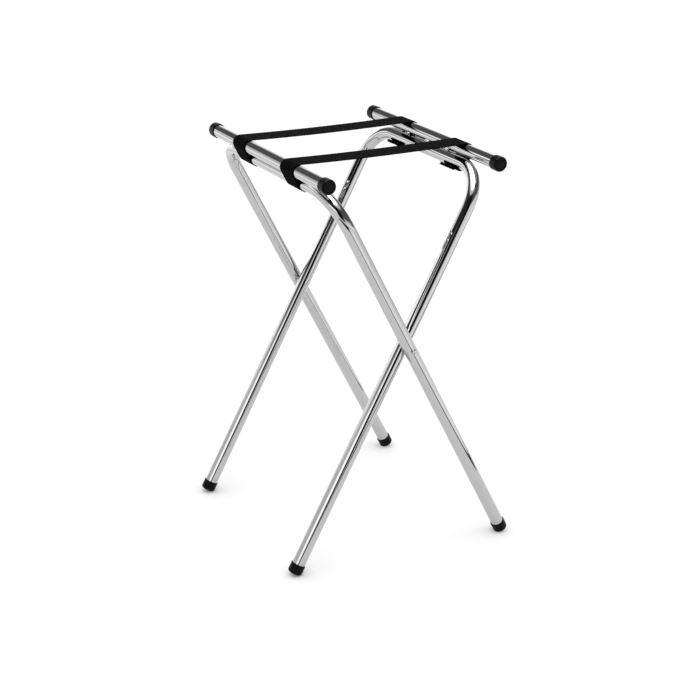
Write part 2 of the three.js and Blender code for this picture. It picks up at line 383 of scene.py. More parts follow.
def polish_marks():
    """Long soft waves left by drawing and buffing a tube, fine lines along it, and patches of haze."""
    name = "Polish Marks"
    if name in bpy.data.node_groups:
        return bpy.data.node_groups[name]
    tree, nodes, given, result = effect(
        name,
        [("Place", "Vector", None), ("Along", "Vector", None), ("Wave Length", "Float", 0.03)],
        [("Height", "Float"), ("Haze", "Float")],
    )
    per_metre = nodes.math("DIVIDE", 1.0, given["Wave Length"])
    waves = nodes.add("TexNoise", {"Vector": given["Place"], "Scale": per_metre, "Detail": 1.0})
    stretch = nodes.add("Mapping", {"Vector": given["Along"], "Scale": (14.0, 1500.0, 1.0)})
    lines = nodes.add("TexNoise", {"Vector": stretch.outputs[0], "Scale": 1.0, "Detail": 2.0})
    patches = nodes.add(
        "TexNoise", {"Vector": given["Place"], "Scale": 38.0, "Detail": 4.0, "Roughness": 0.6}
    )
    height = nodes.math("MULTIPLY_ADD", lines.outputs["Fac"], 0.03, waves.outputs["Fac"])
    nodes.feed(result["Height"], height)
    haze = nodes.scale_to(patches.outputs["Fac"], 0.45, 0.75, 0.0, 1.0)
    nodes.feed(result["Haze"], nodes.math("MULTIPLY_ADD", lines.outputs["Fac"], 0.25, haze))
    return tree


def scuffs():
    """Short scattered rub marks: two stretched noises, one turned across the other, cut to their peaks."""
    name = "Scuffs"
    if name in bpy.data.node_groups:
        return bpy.data.node_groups[name]
    tree, nodes, given, result = effect(
        name, [("Place", "Vector", None), ("Amount", "Float", 0.5)], [("Mask", "Float")]
    )
    masks = []
    for turn, scale in ((0.6, (90.0, 900.0, 250.0)), (-0.9, (700.0, 110.0, 300.0))):
        turned_by = (0.3, turn, turn)
        rub = nodes.add("Mapping", {"Vector": given["Place"], "Rotation": turned_by, "Scale": scale})
        noise = nodes.add("TexNoise", {"Vector": rub.outputs[0], "Scale": 1.0, "Detail": 2.0})
        masks.append(nodes.scale_to(noise.outputs["Fac"], 0.66, 0.76, 0.0, 1.0))
    both = nodes.math("MAXIMUM", *masks)
    nodes.feed(result["Mask"], nodes.math("MULTIPLY", both, given["Amount"], clamp=True))
    return tree


def moulded_grain():
    """The fine pebbled skin of a moulded plastic, and a slow mottle in its shade."""
    name = "Moulded Grain"
    if name in bpy.data.node_groups:
        return bpy.data.node_groups[name]
    tree, nodes, given, result = effect(
        name,
        [("Place", "Vector", None), ("Grain Size", "Float", 0.0006)],
        [("Height", "Float"), ("Mottle", "Float")],
    )
    per_metre = nodes.math("DIVIDE", 1.0, given["Grain Size"])
    pebbles = nodes.add("TexVoronoi", {"Vector": given["Place"], "Scale": per_metre}, feature="SMOOTH_F1")
    mottle = nodes.add("TexNoise", {"Vector": given["Place"], "Scale": 160.0, "Detail": 5.0})
    nodes.feed(result["Height"], nodes.math("SUBTRACT", 1.0, pebbles.outputs["Distance"]))
    nodes.feed(result["Mottle"], nodes.scale_to(mottle.outputs["Fac"], 0.3, 0.7, 0.0, 1.0))
    return tree


def settled_dust():
    """Specks and a faint film that lie thicker where a surface faces up."""
    name = "Settled Dust"
    if name in bpy.data.node_groups:
        return bpy.data.node_groups[name]
    tree, nodes, given, result = effect(
        name, [("Place", "Vector", None), ("Amount", "Float", 0.3)], [("Mask", "Float")]
    )
    facing = nodes.add("SeparateXYZ", {"Vector": nodes.add("NewGeometry").outputs["Normal"]})
    upward = nodes.scale_to(facing.outputs["Z"], 0.1, 1.0, 0.15, 1.0)
    specks = nodes.add("TexNoise", {"Vector": given["Place"], "Scale": 1400.0, "Detail": 3.0})
    film = nodes.add("TexNoise", {"Vector": given["Place"], "Scale": 60.0, "Detail": 3.0})
    speck_mask = nodes.scale_to(specks.outputs["Fac"], 0.60, 0.72, 0.0, 1.0)
    film_mask = nodes.scale_to(film.outputs["Fac"], 0.4, 0.75, 0.05, 0.35)
    spread = nodes.math("MULTIPLY", nodes.math("ADD", speck_mask, film_mask), upward)
    nodes.feed(result["Mask"], nodes.math("MULTIPLY", spread, given["Amount"], clamp=True))
    return tree


def webbing_weave():
    """Narrow ribs along the strap, each a string of short slanted picks.

    A rib rises as the sine of the distance across it. A pick rises as the sine of the distance along it,
    counted from half a pick further on each next rib. The product of the two, each taken to a power below
    one, is the thread's height. The tone output is each pick's random tone plus painted shade from that
    height: paler on the crowns, darker in the weave's hollows.
    """
    name = "Webbing Weave"
    if name in bpy.data.node_groups:
        return bpy.data.node_groups[name]
    tree, nodes, given, result = effect(
        name,
        [("Cloth", "Vector", None), ("Rib Width", "Float", 0.0016), ("Pick Length", "Float", 0.0011)],
        [("Height", "Float"), ("Tone And Painted Shade", "Float")],
    )
    split = nodes.add("SeparateXYZ", {"Vector": given["Cloth"]})
    ribs = nodes.math("DIVIDE", split.outputs["Y"], given["Rib Width"])
    rib_number = nodes.math("FLOOR", ribs)
    step = nodes.math("MULTIPLY", rib_number, 0.5)
    slant = nodes.math("MULTIPLY_ADD", nodes.math("PINGPONG", ribs, 0.5), 0.6, step)
    picks = nodes.math("ADD", nodes.math("DIVIDE", split.outputs["X"], given["Pick Length"]), slant)
    rib_rise = nodes.math("SINE", nodes.math("MULTIPLY", nodes.math("FRACT", ribs), math.pi))
    pick_rise = nodes.math("SINE", nodes.math("MULTIPLY", nodes.math("FRACT", picks), math.pi))
    rise = nodes.math("MULTIPLY", nodes.math("POWER", rib_rise, 0.6), nodes.math("POWER", pick_rise, 0.5))
    number = nodes.add("CombineXYZ", {"X": rib_number, "Y": nodes.math("FLOOR", picks)})
    shade = nodes.add("TexWhiteNoise", {"Vector": number.outputs[0]}, noise_dimensions="2D")
    nodes.feed(result["Height"], rise)
    # Painted shade: the height is added to the colour tone, so a pick is paler where it rises and darker in
    # the weave's hollows.
    lit = nodes.math("MULTIPLY", rise, 0.65)
    nodes.feed(result["Tone And Painted Shade"], nodes.math("MULTIPLY_ADD", shade.outputs["Value"], 0.35, lit))
    return tree


def finish_called(name):
    """A new material named for its slot, with its nodes, its shader and its coordinates."""
    material = bpy.data.materials.new(name)
    material.use_nodes = True
    nodes = Nodes(material.node_tree)
    shader = material.node_tree.nodes["Principled BSDF"]
    coordinates = nodes.add("TexCoord")
    return material, nodes, shader, coordinates.outputs["Object"], coordinates.outputs["UV"]


def opaque(tint):
    """A colour property's value with full alpha."""
    return (*tint, 1.0)


def darker(tint, share):
    """A colour scaled to that share of its brightness."""
    return opaque(tuple(channel * share for channel in tint))


def use(nodes, tree, **inputs):
    """A group node with its inputs set."""
    made = nodes.add("Group", node_tree=tree)
    for label, value in inputs.items():
        nodes.feed(made.inputs[label.replace("_", " ")], value)
    return made.outputs


def plated(name, tint, roughness, wave_length, wave_height, scuff_amount):
    """Polished plating: near-mirror, waved by the tube under it, hazed in patches and lightly scuffed."""
    material, nodes, shader, place, along = finish_called(name)
    marks = use(nodes, polish_marks(), Place=place, Along=along, Wave_Length=wave_length)
    rubs = use(nodes, scuffs(), Place=place, Amount=scuff_amount)
    hazed = nodes.mix(nodes.math("MULTIPLY", marks["Haze"], 0.35), opaque(tint), darker(tint, 0.88))
    nodes.feed(shader.inputs["Base Color"], nodes.mix(rubs["Mask"], hazed, darker(tint, 0.7)))
    rough = nodes.math("MULTIPLY_ADD", marks["Haze"], roughness, roughness * 0.7)
    nodes.feed(shader.inputs["Roughness"], nodes.math("MULTIPLY_ADD", rubs["Mask"], 0.12, rough))
    bump = nodes.add("Bump", {"Height": marks["Height"], "Distance": wave_height, "Strength": 1.0})
    nodes.feed(shader.inputs["Normal"], bump.outputs[0])
    shader.inputs["Metallic"].default_value = 1.0
    return material


def moulded(name, tint, rubbed, roughness, grain_size, grain_height, dust):
    """Moulded plastic: a fine pebbled skin, rubbed paler in places, with a little dust on top."""
    material, nodes, shader, place, _ = finish_called(name)
    grain = use(nodes, moulded_grain(), Place=place, Grain_Size=grain_size)
    rubs = use(nodes, scuffs(), Place=place, Amount=0.45)
    film = use(nodes, settled_dust(), Place=place, Amount=dust)
    mottled = nodes.mix(grain["Mottle"], darker(tint, 0.75), opaque(tint))
    scuffed = nodes.mix(rubs["Mask"], mottled, opaque(rubbed))
    nodes.feed(shader.inputs["Base Color"], nodes.mix(film["Mask"], scuffed, (0.12, 0.118, 0.112, 1.0)))
    rough = nodes.math("MULTIPLY_ADD", grain["Mottle"], 0.10, roughness)
    nodes.feed(shader.inputs["Roughness"], nodes.math("MULTIPLY_ADD", film["Mask"], 0.4, rough, clamp=True))
    bump = nodes.add("Bump", {"Height": grain["Height"], "Distance": grain_height, "Strength": 1.0})
    nodes.feed(shader.inputs["Normal"], bump.outputs[0])
    shader.inputs["Specular IOR Level"].default_value = 0.09
    return material


def woven(name, tint):
    """Polypropylene webbing: ribs of short picks, every pick its own tone, with painted shade that pales the
    crowns and darkens the weave's hollows, and matt.
    """
    material, nodes, shader, place, cloth = finish_called(name)
    weave = use(nodes, webbing_weave(), Cloth=cloth, Rib_Width=1.55 * MM, Pick_Length=1.15 * MM)
    film = use(nodes, settled_dust(), Place=place, Amount=0.10)
    fuzz = nodes.add("TexNoise", {"Vector": place, "Scale": 2600.0, "Detail": 2.0})
    # Painted shade in the base colour: paler on the raised crowns, darker in the weave's hollows, mixed with
    # each pick's random tone.
    tone_and_painted_shade = nodes.mix(weave["Tone And Painted Shade"], darker(tint, 0.45), darker(tint, 1.7))
    nodes.feed(shader.inputs["Base Color"], nodes.mix(film["Mask"], tone_and_painted_shade, (0.02, 0.0194, 0.019, 1.0)))
    nodes.feed(shader.inputs["Roughness"], nodes.scale_to(weave["Tone And Painted Shade"], 0.0, 1.0, 0.85, 0.62))
    rise = nodes.math("MULTIPLY_ADD", fuzz.outputs["Fac"], 0.18, weave["Height"])
    bump = nodes.add("Bump", {"Height": rise, "Distance": 0.28 * MM, "Strength": 1.0})
    nodes.feed(shader.inputs["Normal"], bump.outputs[0])
    shader.inputs["Specular IOR Level"].default_value = 0.01
    return material


def finish(slot):
    """The material for one of the record's slots, made the first time it is asked for."""
    name = slot + "_finish"
    if name in bpy.data.materials:
        return bpy.data.materials[name]
    tints = bpy.context.scene.traystand_colours
    if slot == "chrome":
        return plated(name, tints.chrome, 0.035, 34 * MM, 0.05 * MM, 0.25)
    if slot == "rivet_steel":
        return plated(name, tints.rivet_steel, 0.08, 4 * MM, 0.03 * MM, 0.6)
    if slot == "black_vinyl":
        return moulded(name, tints.black_vinyl, (0.012, 0.012, 0.012), 0.28, 0.7 * MM, 0.03 * MM, 0.05)
    if slot == "white_nylon":
        return moulded(name, tints.white_nylon, (0.55, 0.53, 0.48), 0.42, 0.9 * MM, 0.03 * MM, 0.15)
    return woven(name, tints.black_webbing)


# ---------------------------------------------------------------------------------------------------------
# The pieces


class TRAYSTAND_OT_frames(bpy.types.Operator):
    """Build the two bent tube frames"""

    bl_idname = "traystand.frames"
    bl_label = "Leg Frames"

    def execute(self, context):
        sizes = context.scene.traystand_sizes
        radius = sizes.tube_diameter / 2
        top = RAIL_OFFSET - sizes.tube_diameter - sizes.fit_gap
        for side in SIDES:
            foot = np.array(middle_of(side + "_foot_cap_rear"))
            low = -math.hypot(foot[0], PIVOT_Z - foot[2]) - 4 * MM
            path, tangents, squeeze = frame_path(FRAME_EDGE[side] - radius, top, low, sizes.bend_radius)
            tube, uv = swept_tube(path, tangents, radius, sizes.tube_wall, squeeze * sizes.bend_flattening)
            made = skin(leaned(tube, side), uv, closed_rows=True, closed_columns=True)
            piece(side + "_leg_frame", [made], "chrome", [side + "_frame_tube"], BODY[side])
        return {"FINISHED"}


class TRAYSTAND_OT_rails(bpy.types.Operator):
    """Build the two straight rails and their weld beads"""

    bl_idname = "traystand.rails"
    bl_label = "Rails"

    def execute(self, context):
        sizes = context.scene.traystand_sizes
        radius = sizes.tube_diameter / 2
        half = RAIL_EDGE - sizes.cap_end - sizes.fit_gap
        path = np.stack([np.zeros(25), np.linspace(-half, half, 25), np.full(25, RAIL_OFFSET)], -1)
        tangents = np.tile([0.0, 1.0, 0.0], (25, 1))
        for side in SIDES:
            tube, uv = swept_tube(path, tangents, radius, sizes.tube_wall)
            made = skin(leaned(tube, side), uv, closed_rows=True, closed_columns=True)
            piece(side + "_top_rail", [made], "chrome", [side + "_rail"], BODY[side])
            welds = [side + "_rail_weld_%d" % number for number in (1, 2, 3)]
            beads = [self.bead(middle_of(weld), number) for number, weld in enumerate(welds)]
            piece(side + "_tack_welds", beads, "chrome", welds, BODY[side])
        return {"FINISHED"}

    def bead(self, middle, number):
        """A tack weld along Y: a round bar whose radius tapers off and ripples as the puddle froze.

        The taper is the root of one less the fourth power of the distance from the middle, which runs from
        -1 to 1. The ripple is one plus two sine waves, which start further on in each next bead.
        """
        thickness, reach, usual_radius = 2.75 * MM, 7.2 * MM, 2.5 * MM
        along = np.linspace(-1, 1, 49)
        taper = (1 - np.abs(along) ** 4) ** 0.5
        ripple = 1 + 0.07 * np.sin(along * 19 + number) + 0.05 * np.sin(along * 7 + 2 * number)
        turns = np.linspace(0, 2 * math.pi, 28, endpoint=False)
        radius = thickness * taper * ripple
        x = radius[:, None] * np.cos(turns) + middle.x
        z = radius[:, None] * np.sin(turns) + middle.z
        y = np.broadcast_to(reach * along[:, None] + middle.y, x.shape)
        uv = unrolled(reach * along, np.append(turns, 2 * math.pi) * usual_radius)
        return skin(np.stack([x, y, z], -1), uv, closed_columns=True)


class TRAYSTAND_OT_caps(bpy.types.Operator):
    """Build the moulded caps on the rails' ends and the feet"""

    bl_idname = "traystand.caps"
    bl_label = "End Caps"

    def profile(self, sizes):
        """Half of a cap's section: how far from the axis, and how far in from the end face.

        A shallow dome falls back as the square of the distance out. Then come a groove, a rolled rim, the
        straight skirt, a rounded lip, and the bore with its closed end.
        """
        bore = sizes.tube_diameter / 2 + sizes.fit_gap
        outside = bore + sizes.cap_wall
        corner = sizes.cap_corner
        rim_width, dome_height, dome_fall, groove_depth = 1.6 * MM, 0.15 * MM, 0.75 * MM, 1.15 * MM
        lip_round, mouth_round = 0.6 * MM, 0.4 * MM
        dome = outside - corner - rim_width
        share = np.linspace(0, 1, 12)
        crown = np.stack([dome * share, dome_height + dome_fall * share**2], -1)
        groove = [[dome + 0.5 * MM, groove_depth], [dome + 1.0 * MM, dome_fall]]
        rim = arc((outside - corner, corner), corner, -97, 0, 14)
        skirt_end = sizes.cap_length - lip_round
        skirt = [[outside, height] for height in np.linspace(corner, skirt_end, 8)[1:-1]]
        lip = arc((outside - lip_round, skirt_end), lip_round, 0, 90, 6)
        mouth = arc((bore + mouth_round, sizes.cap_length - mouth_round), mouth_round, 90, 180, 5)
        inside = [[bore, sizes.cap_end], [0, sizes.cap_end]]
        return np.concatenate([crown, groove, rim, skirt, lip, mouth, inside])

    def execute(self, context):
        sizes = context.scene.traystand_sizes
        cup, uv = turned(self.profile(sizes), 72)
        for side in SIDES:
            leg = leaned(np.array([0, 0, 1.0]), side) - leaned(np.zeros(3), side)
            sideways = np.array([leg[2], 0, -leg[0]])
            for end, way in ENDS.items():
                rail = [middle_of(side + "_rail").x, way * RAIL_EDGE, RAIL_Z]
                placed = stood(cup, rail, (0, -way, 0), (1, 0, 0))
                self.cap(side, "rail_end_cap_" + end, "rail_cap_" + end, placed, uv)
                placed = stood(cup, self.foot(sizes, side, way), leg, sideways)
                placed[..., 2] = np.maximum(placed[..., 2], 0)
                self.cap(side, "foot_tip_" + end, "foot_cap_" + end, placed, uv)
        return {"FINISHED"}

    def cap(self, side, name, node, points, uv):
        """One cap in its place, riding on its frame."""
        made = skin(points, uv, closed_columns=True)
        piece("%s_%s" % (side, name), [made], "black_vinyl", ["%s_%s" % (side, node)], BODY[side])

    def foot(self, sizes, side, way):
        """The middle of a foot cap's end face, on the leg's line.

        The lowest point of the cap's rolled corner lies a little under the floor, which flattens it.
        """
        outside = sizes.tube_diameter / 2 + sizes.fit_gap + sizes.cap_wall
        corner, crush = sizes.cap_corner, 1 * MM
        drop = PIVOT_Z + crush - corner - (outside - corner) * math.sin(LEAN)
        reach = drop / math.cos(LEAN)
        leg_y = way * (FRAME_EDGE[side] - sizes.tube_diameter / 2)
        return leaned(np.array([0, leg_y, -reach - corner]), side)


class TRAYSTAND_OT_pivots(bpy.types.Operator):
    """Build the pivot rivets and the washers between the legs"""

    bl_idname = "traystand.pivots"
    bl_label = "Pivots"

    def execute(self, context):
        sizes = context.scene.traystand_sizes
        gap = sizes.fit_gap
        outer_face = FRAME_EDGE["outer"]
        inner_face = FRAME_EDGE["inner"] - sizes.tube_diameter
        space = FRAME_EDGE["outer"] - FRAME_EDGE["inner"] - sizes.tube_diameter
        grip = outer_face - inner_face + 2 * gap
        pin, uv = turned(self.profile(sizes, grip), 48)
        for end, way in ENDS.items():
            placed = stood(pin, (0, way * (outer_face + gap), PIVOT_Z), (0, -way, 0), (1, 0, 0))
            placed[..., 1] += way * self.seat(sizes, grip, pin[..., 2], placed)
            made = skin(placed, uv, closed_columns=True)
            piece("pivot_pin_" + end, [made], "rivet_steel", ["pivot_rivet_" + end], "outer_frame")
            middle = outer_face - sizes.tube_diameter - space / 2
            self.washer(end, way, middle, space - 2 * gap)
        return {"FINISHED"}

    def profile(self, sizes, grip):
        """Half of a rivet's section: how far from the axis, and how far in from the outer leg's face.

        The head is a quarter of an ellipse, its width the sine of an angle and its height the cosine. Then
        come its thin rim, the shank through both legs, and the set head with a dimple in its end.
        """
        head, shank, peened = sizes.pivot_head / 2, 3.2 * MM, 4.8 * MM
        rim_height, dome_height, set_round = 0.9 * MM, 2.1 * MM, 1.0 * MM
        angle = np.linspace(0, 1, 12) * math.pi / 2
        dome = np.stack([head * np.sin(angle), -rim_height - dome_height * np.cos(angle)], -1)
        under = [[head + 0.05 * MM, -0.5 * MM], [head, 0.0], [shank, 0.0]]
        tail = [[shank, grip], [peened, grip], [peened, grip + 0.5 * MM]]
        set_head = arc((peened - set_round, grip + 0.6 * MM), set_round, 0, 80, 6)
        dimple = [[2.0 * MM, grip + 1.3 * MM], [0.9 * MM, grip + 0.9 * MM], [0, grip + 0.85 * MM]]
        return np.concatenate([dome, under, tail, set_head, dimple])

    def seat(self, sizes, grip, height, placed):
        """How far each point of a rivet moves outwards, so that both heads hug the tubes they press on.

        A head's underside falls away with its tube, and less so further from the tube, down to nothing.
        """
        radius, slack = sizes.tube_diameter / 2, 0.1 * MM
        head_fade, set_fade = 1.6 * MM, 1.2 * MM
        local = placed - np.array([0, 0, PIVOT_Z])
        outer_across = (math.cos(LEAN), 0, math.sin(LEAN))
        inner_across = (math.cos(LEAN), 0, -math.sin(LEAN))
        settle = np.clip((height + head_fade) / head_fade, 0, 1) * (height < slack)
        drop = seat_drop(local, radius, outer_across) * settle
        settle = np.clip((grip + set_fade - height) / set_fade, 0, 1) * (height > grip - slack)
        rise = seat_drop(local, radius, inner_across) * settle
        return rise - drop

    def washer(self, end, way, y, thickness):
        """A flat ring: a rounded rectangle carried round the rivet."""
        inner, outer, edge = 3.5 * MM, 8 * MM, 0.45 * MM
        low, high = edge - thickness / 2, thickness / 2 - edge
        corners = (
            ((outer - edge, low), -90),
            ((outer - edge, high), 0),
            ((inner + edge, high), 90),
            ((inner + edge, low), 180),
        )
        section = np.concatenate([arc(centre, edge, start, start + 90, 5) for centre, start in corners])
        ring, uv = turned(np.concatenate([section, section[:1]]), 56)
        placed = stood(ring[:-1], (0, way * y, PIVOT_Z), (0, way, 0), (1, 0, 0))
        made = skin(placed, uv, closed_rows=True, closed_columns=True)
        piece("leg_washer_" + end, [made], "white_nylon", ["pivot_spacer_" + end], "outer_frame")


class TRAYSTAND_OT_straps(bpy.types.Operator):
    """Build the webbing straps and the rivets that hold their ends"""

    bl_idname = "traystand.straps"
    bl_label = "Straps"

    def execute(self, context):
        sizes = context.scene.traystand_sizes
        for side in SIDES:
            for end in ENDS:
                self.strap(sizes, side, end)
                self.rivet(sizes, side, end)
        return {"FINISHED"}

    def centre_line(self, sizes):
        """The lines of a strap's two layers, seen from its edge, on the left side.

        The first runs out from the middle on a parabola that sags below its ends, over the rail on an arc,
        straight down to the crossbar, under it on an arc, and on along the drooping tab. The second is the
        hem's, folded back one thickness further out, and its tab droops more.
        """
        off = sizes.tube_diameter / 2 + sizes.fit_gap + STRAP_THICKNESS / 2
        rail = np.array([-RAIL_X, RAIL_Z])
        downward = np.array([math.sin(LEAN), -math.cos(LEAN)])
        bar = rail + (sizes.tube_diameter + sizes.fit_gap) * downward
        lean = math.degrees(LEAN)
        hem_start, wrap_end = 238 + lean, 271 + lean
        out = np.linspace(0, 1, 46)[:-1]
        span = np.stack([-RAIL_X * out, RAIL_Z + off - sizes.strap_sag * (1 - out**2)], -1)
        over = arc(rail, off, 90, 180 + lean, 40)
        down = over[-1] + np.linspace(0, 1, 8)[1:-1, None] * (bar - rail)
        under = arc(bar, off, 180 + lean, wrap_end, 30)
        upper = self.tab(under[-1], lean + 1, sizes.hem_flat, sizes.hem_tab, 24)
        second = arc(bar, off + STRAP_THICKNESS + 0.1 * MM, hem_start, wrap_end, 14)
        lower = self.tab(second[-1], lean + 1, sizes.hem_flat * 0.8, sizes.hem_tab * 1.15, 52)
        return np.concatenate([span, over, down, under, upper]), np.concatenate([second, lower])

    def tab(self, start, heading, flat, loose, droop):
        """A straight run along a heading in degrees, then a curve that droops by that angle."""
        straight = np.linspace(0, flat, 6)[1:]
        count = 8
        bend = np.radians(heading - droop * np.linspace(0, 1, count + 1)[1:])
        heading = math.radians(heading)
        run = start + straight[:, None] * np.array([math.cos(heading), math.sin(heading)])
        steps = loose / count * np.stack([np.cos(bend), np.sin(bend)], -1)
        return np.concatenate([run, run[-1] + np.cumsum(steps, axis=0)])

    def band(self, line, y, thickness, mirrored):
        """A flat strap along a line: a flat oval stands across it at each point.

        Two slow sine waves along the strap make its width wander. The first and last sections are repeated
        with no thickness, which closes the strap's cut ends.
        """
        travelled = np.concatenate([[0], np.cumsum(np.linalg.norm(np.diff(line, axis=0), axis=1))])
        heading = np.gradient(line, travelled, axis=0)
        heading /= np.linalg.norm(heading, axis=1)[:, None]
        normal = np.stack([heading[:, 1], -heading[:, 0]], -1)
        half, edge = STRAP_WIDTH / 2, thickness / 2
        flat = np.linspace(-1, 1, 25)[:, None] * (half - edge)
        bottom = np.concatenate([flat, np.full_like(flat, -edge)], -1)
        top = np.concatenate([-flat, np.full_like(flat, edge)], -1)
        right = arc((half - edge, 0), edge, -90, 90, 7)[1:-1]
        left = arc((edge - half, 0), edge, 90, 270, 7)[1:-1]
        section = np.concatenate([bottom, right, top, left])
        wander = 1 + 0.004 * np.sin(travelled * 260) + 0.003 * np.sin(travelled * 610 + 1)
        order = np.concatenate([[0], np.arange(len(line)), [len(line) - 1]])
        thick = np.ones(len(order))
        thick[[0, -1]] = 0
        across = section[None, :, 0] * wander[order][:, None]
        offset = section[None, :, 1] * thick[:, None]
        xz = line[order][:, None, :] + normal[order][:, None, :] * offset[..., None]
        x = -xz[..., 0] if mirrored else xz[..., 0]
        points = np.stack([x, y + across, xz[..., 1]], -1)
        along = travelled[order] if mirrored else -travelled[order]
        uv = unrolled(along, np.append(section[:, 0], section[0, 0]))
        return skin(points, uv, closed_columns=True)

    def strap(self, sizes, side, end):
        """Half of a strap, from its middle to its hem, bending where it leaves the rail."""
        mirrored = side == "inner"
        y = STRAP_Y[end]
        layers = [self.band(line, y, STRAP_THICKNESS, mirrored) for line in self.centre_line(sizes)]
        nodes = ["%s_strap_%s_%s" % (end, part, side) for part in ("wrap", "half")]
        made = piece("%s_strap_%s" % (end, side), layers, "black_webbing", nodes, sharp_degrees=60)
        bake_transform(made)

    def rivet(self, sizes, side, end):
        """A rivet with a low domed head under the hem, its shank through the crossbar's wall, and a set head.

        The head is a quarter of an ellipse, its width the sine of an angle and its height the cosine.
        """
        bar = RAIL_OFFSET - sizes.tube_diameter - sizes.fit_gap
        under = bar - sizes.tube_diameter / 2 - 2 * sizes.fit_gap - 2 * STRAP_THICKNESS - 0.2 * MM
        head, shank, peened, grip = sizes.strap_rivet_head / 2, 2.4 * MM, 3.6 * MM, 6.5 * MM
        rim_height, dome_height = 0.4 * MM, 1.2 * MM
        angle = np.linspace(0, 1, 10) * math.pi / 2
        dome = np.stack([head * np.sin(angle), -rim_height - dome_height * np.cos(angle)], -1)
        stem = [[head, 0.0], [shank, 0.0], [shank, grip], [peened, grip], [peened, grip + 0.5 * MM]]
        tip = [[peened * 0.6, grip + 1.0 * MM], [0, grip + 1.1 * MM]]
        pin, uv = turned([*dome, *stem, *tip], 40)
        made = skin(leaned(pin + np.array([0, STRAP_Y[end], under]), side), uv, closed_columns=True)
        node = "%s_strap_rivet_%s" % (end, side)
        piece("%s_strap_pin_%s" % (end, side), [made], "rivet_steel", [node], BODY[side])


# ---------------------------------------------------------------------------------------------------------
# The studio

# What the plating mirrors, by direction. Each patch has its azimuths from and to, where 0 is +Y and 90 is +X,
# its heights from and to, and how soft its edges are, all in degrees, and then its brightness.
SURROUNDINGS = (
    ("dark upper room", -180, 180, 14, 46, 4, 0.13),
    ("darkest upper room, on the left", -180, -76, 20, 46, 4, 0.03),
    ("unlit side wall", 62, 128, 4, 16, 3, 0.22),
    ("lit back wall", 10, 62, -30, 23, 8, 1.35),
    ("left reflector", -133, -28, 4, 21, 3, 0.80),
    ("window light, low part", -26, 16, -3, 11.5, 2, 2.0),
    ("window light, middle part", -50, -31, 11, 20, 2, 2.0),
    ("window light, high part", -66, -46, 17, 24, 3, 1.8),
    ("left strip light", -136, -103, 8, 18, 2, 2.0),
    ("dark side of the room by the camera", -174, -138, -9, 40, 3, 0.01),
    ("front right reflector", 112, 180, -9, 4, 3, 1.5),
    ("overhead soft box", -180, 180, 58, 90, 4, 6.0),
)


